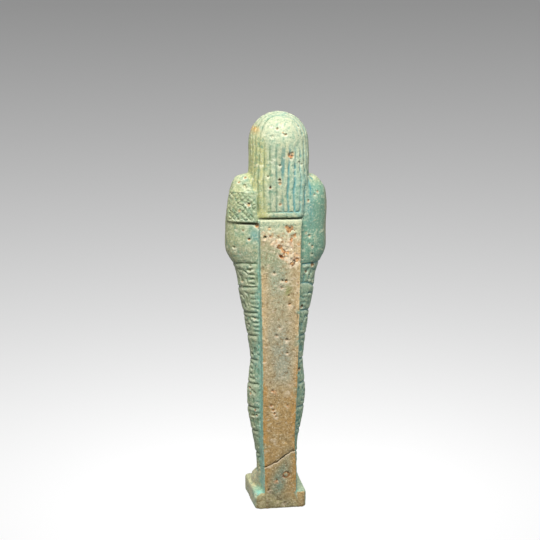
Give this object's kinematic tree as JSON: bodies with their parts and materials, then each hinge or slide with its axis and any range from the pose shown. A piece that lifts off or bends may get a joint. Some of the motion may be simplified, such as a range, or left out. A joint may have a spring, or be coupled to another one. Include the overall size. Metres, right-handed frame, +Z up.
{
  "type": "ushabti figurine",
  "caption": "Mummy-shaped funerary figurine in green faience, in wig and beard with crossed arms, hoe, pick and seed bag, on a back pillar and plinth.",
  "frame": {"origin": "middle of the plinth's underside", "axes": "+Z up the figure; it faces -Y, its back pillar is flat on +Y, and its own left side is +X"},
  "size_m": [0.0457, 0.03, 0.18],
  "materials": {
    "faience": "semi-matt worn faience glaze, cream-green to teal, over a gritty tan body with small pits"
  },
  "bodies": {
    "root": {"ushabti": "faience"}
  },
  "joints": []
}
